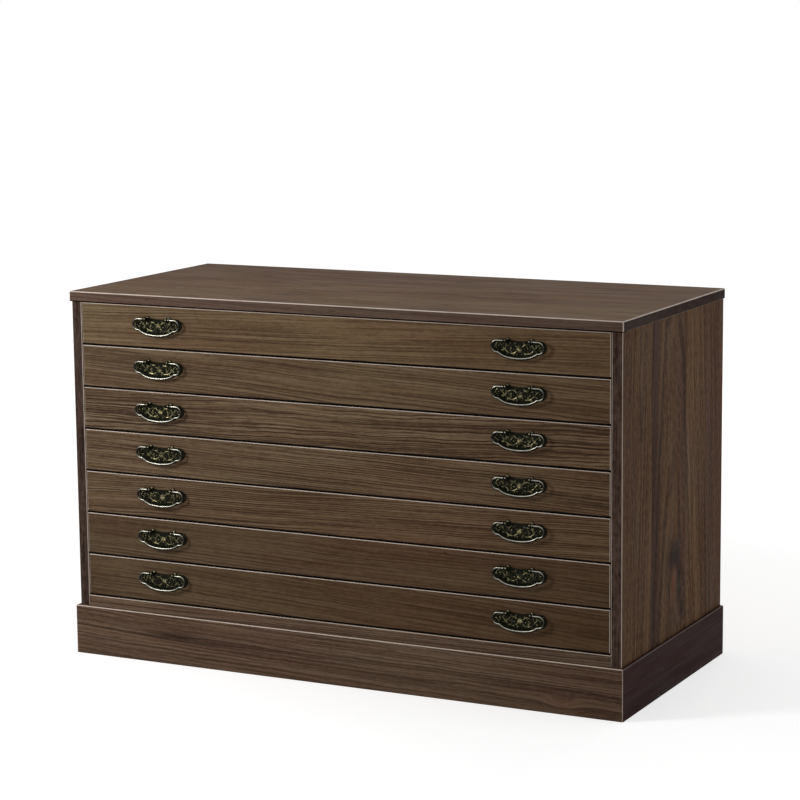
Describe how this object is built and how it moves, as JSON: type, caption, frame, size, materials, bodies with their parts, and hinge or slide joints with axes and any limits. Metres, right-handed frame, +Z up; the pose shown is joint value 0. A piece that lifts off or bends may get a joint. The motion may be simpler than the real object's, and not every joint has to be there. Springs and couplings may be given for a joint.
{
  "type": "clothing chest",
  "caption": "Low wide clothing chest with sliding drawers one above another, drop pulls on backplates, an overhanging top and a plinth.",
  "frame": {"origin": "on the floor, under the middle of the whole chest's box, pulls included", "axes": "+X to the right of someone who faces the drawers, -Y the way the drawers open, +Z up"},
  "size_m": [1, 0.4546, 0.62],
  "materials": {
    "stained_paulownia": "dark brown stain, satin, fine straight grain",
    "raw_paulownia": "plain planed paulownia, unstained",
    "antique_brass": "antique brass, worn bright on the raised parts",
    "dark_brass": "dark patinated brass"
  },
  "bodies": {
    "carcass": {"top_board": "stained_paulownia", "left_side_panel": "stained_paulownia", "right_side_panel": "stained_paulownia", "bottom_board": "stained_paulownia", "plinth_front": "stained_paulownia", "plinth_left_side": "stained_paulownia", "plinth_right_side": "stained_paulownia", "plinth_back": "stained_paulownia", "back_panel": "raw_paulownia", "plinth_corner_blocks": "raw_paulownia", "drawer_runners": "raw_paulownia"},
    "drawer_1": {"drawer_1_front": "stained_paulownia", "drawer_1_walls": "raw_paulownia", "drawer_1_bottom": "raw_paulownia", "drawer_1_pull_plates": "antique_brass", "drawer_1_pull_posts": "dark_brass"},
    "drawer_1_left_bail": {"drawer_1_left_pull": "antique_brass"},
    "drawer_1_right_bail": {"drawer_1_right_pull": "antique_brass"},
    "drawer_2": {"drawer_2_front": "stained_paulownia", "drawer_2_walls": "raw_paulownia", "drawer_2_bottom": "raw_paulownia", "drawer_2_pull_plates": "antique_brass", "drawer_2_pull_posts": "dark_brass"},
    "drawer_2_left_bail": {"drawer_2_left_pull": "antique_brass"},
    "drawer_2_right_bail": {"drawer_2_right_pull": "antique_brass"},
    "drawer_3": {"drawer_3_front": "stained_paulownia", "drawer_3_walls": "raw_paulownia", "drawer_3_bottom": "raw_paulownia", "drawer_3_pull_plates": "antique_brass", "drawer_3_pull_posts": "dark_brass"},
    "drawer_3_left_bail": {"drawer_3_left_pull": "antique_brass"},
    "drawer_3_right_bail": {"drawer_3_right_pull": "antique_brass"},
    "drawer_4": {"drawer_4_front": "stained_paulownia", "drawer_4_walls": "raw_paulownia", "drawer_4_bottom": "raw_paulownia", "drawer_4_pull_plates": "antique_brass", "drawer_4_pull_posts": "dark_brass"},
    "drawer_4_left_bail": {"drawer_4_left_pull": "antique_brass"},
    "drawer_4_right_bail": {"drawer_4_right_pull": "antique_brass"},
    "drawer_5": {"drawer_5_front": "stained_paulownia", "drawer_5_walls": "raw_paulownia", "drawer_5_bottom": "raw_paulownia", "drawer_5_pull_plates": "antique_brass", "drawer_5_pull_posts": "dark_brass"},
    "drawer_5_left_bail": {"drawer_5_left_pull": "antique_brass"},
    "drawer_5_right_bail": {"drawer_5_right_pull": "antique_brass"},
    "drawer_6": {"drawer_6_front": "stained_paulownia", "drawer_6_walls": "raw_paulownia", "drawer_6_bottom": "raw_paulownia", "drawer_6_pull_plates": "antique_brass", "drawer_6_pull_posts": "dark_brass"},
    "drawer_6_left_bail": {"drawer_6_left_pull": "antique_brass"},
    "drawer_6_right_bail": {"drawer_6_right_pull": "antique_brass"},
    "drawer_7": {"drawer_7_front": "stained_paulownia", "drawer_7_walls": "raw_paulownia", "drawer_7_bottom": "raw_paulownia", "drawer_7_pull_plates": "antique_brass", "drawer_7_pull_posts": "dark_brass"},
    "drawer_7_left_bail": {"drawer_7_left_pull": "antique_brass"},
    "drawer_7_right_bail": {"drawer_7_right_pull": "antique_brass"}
  },
  "joints": [
    {"name": "drawer_1_slide", "type": "slide", "parent": "carcass", "child": "drawer_1", "axis": [0, -1, 0], "range_m": [0, 0.3]},
    {"name": "drawer_1_left_bail_hinge", "type": "hinge", "parent": "drawer_1", "child": "drawer_1_left_bail", "pos_m": [-0.325, -0.22355, 0.5808], "axis": [-1, 0, 0], "range_deg": [-6, 175]},
    {"name": "drawer_1_right_bail_hinge", "type": "hinge", "parent": "drawer_1", "child": "drawer_1_right_bail", "pos_m": [0.325, -0.22355, 0.5808], "axis": [-1, 0, 0], "range_deg": [-6, 175]},
    {"name": "drawer_2_slide", "type": "slide", "parent": "carcass", "child": "drawer_2", "axis": [0, -1, 0], "range_m": [0, 0.3]},
    {"name": "drawer_2_left_bail_hinge", "type": "hinge", "parent": "drawer_2", "child": "drawer_2_left_bail", "pos_m": [-0.325, -0.22355, 0.5093], "axis": [-1, 0, 0], "range_deg": [-6, 175]},
    {"name": "drawer_2_right_bail_hinge", "type": "hinge", "parent": "drawer_2", "child": "drawer_2_right_bail", "pos_m": [0.325, -0.22355, 0.5093], "axis": [-1, 0, 0], "range_deg": [-6, 175]},
    {"name": "drawer_3_slide", "type": "slide", "parent": "carcass", "child": "drawer_3", "axis": [0, -1, 0], "range_m": [0, 0.3]},
    {"name": "drawer_3_left_bail_hinge", "type": "hinge", "parent": "drawer_3", "child": "drawer_3_left_bail", "pos_m": [-0.325, -0.22355, 0.4378], "axis": [-1, 0, 0], "range_deg": [-6, 175]},
    {"name": "drawer_3_right_bail_hinge", "type": "hinge", "parent": "drawer_3", "child": "drawer_3_right_bail", "pos_m": [0.325, -0.22355, 0.4378], "axis": [-1, 0, 0], "range_deg": [-6, 175]},
    {"name": "drawer_4_slide", "type": "slide", "parent": "carcass", "child": "drawer_4", "axis": [0, -1, 0], "range_m": [0, 0.3]},
    {"name": "drawer_4_left_bail_hinge", "type": "hinge", "parent": "drawer_4", "child": "drawer_4_left_bail", "pos_m": [-0.325, -0.22355, 0.3663], "axis": [-1, 0, 0], "range_deg": [-6, 175]},
    {"name": "drawer_4_right_bail_hinge", "type": "hinge", "parent": "drawer_4", "child": "drawer_4_right_bail", "pos_m": [0.325, -0.22355, 0.3663], "axis": [-1, 0, 0], "range_deg": [-6, 175]},
    {"name": "drawer_5_slide", "type": "slide", "parent": "carcass", "child": "drawer_5", "axis": [0, -1, 0], "range_m": [0, 0.3]},
    {"name": "drawer_5_left_bail_hinge", "type": "hinge", "parent": "drawer_5", "child": "drawer_5_left_bail", "pos_m": [-0.325, -0.22355, 0.2948], "axis": [-1, 0, 0], "range_deg": [-6, 175]},
    {"name": "drawer_5_right_bail_hinge", "type": "hinge", "parent": "drawer_5", "child": "drawer_5_right_bail", "pos_m": [0.325, -0.22355, 0.2948], "axis": [-1, 0, 0], "range_deg": [-6, 175]},
    {"name": "drawer_6_slide", "type": "slide", "parent": "carcass", "child": "drawer_6", "axis": [0, -1, 0], "range_m": [0, 0.3]},
    {"name": "drawer_6_left_bail_hinge", "type": "hinge", "parent": "drawer_6", "child": "drawer_6_left_bail", "pos_m": [-0.325, -0.22355, 0.2233], "axis": [-1, 0, 0], "range_deg": [-6, 175]},
    {"name": "drawer_6_right_bail_hinge", "type": "hinge", "parent": "drawer_6", "child": "drawer_6_right_bail", "pos_m": [0.325, -0.22355, 0.2233], "axis": [-1, 0, 0], "range_deg": [-6, 175]},
    {"name": "drawer_7_slide", "type": "slide", "parent": "carcass", "child": "drawer_7", "axis": [0, -1, 0], "range_m": [0, 0.3]},
    {"name": "drawer_7_left_bail_hinge", "type": "hinge", "parent": "drawer_7", "child": "drawer_7_left_bail", "pos_m": [-0.325, -0.22355, 0.1518], "axis": [-1, 0, 0], "range_deg": [-6, 175]},
    {"name": "drawer_7_right_bail_hinge", "type": "hinge", "parent": "drawer_7", "child": "drawer_7_right_bail", "pos_m": [0.325, -0.22355, 0.1518], "axis": [-1, 0, 0], "range_deg": [-6, 175]}
  ]
}
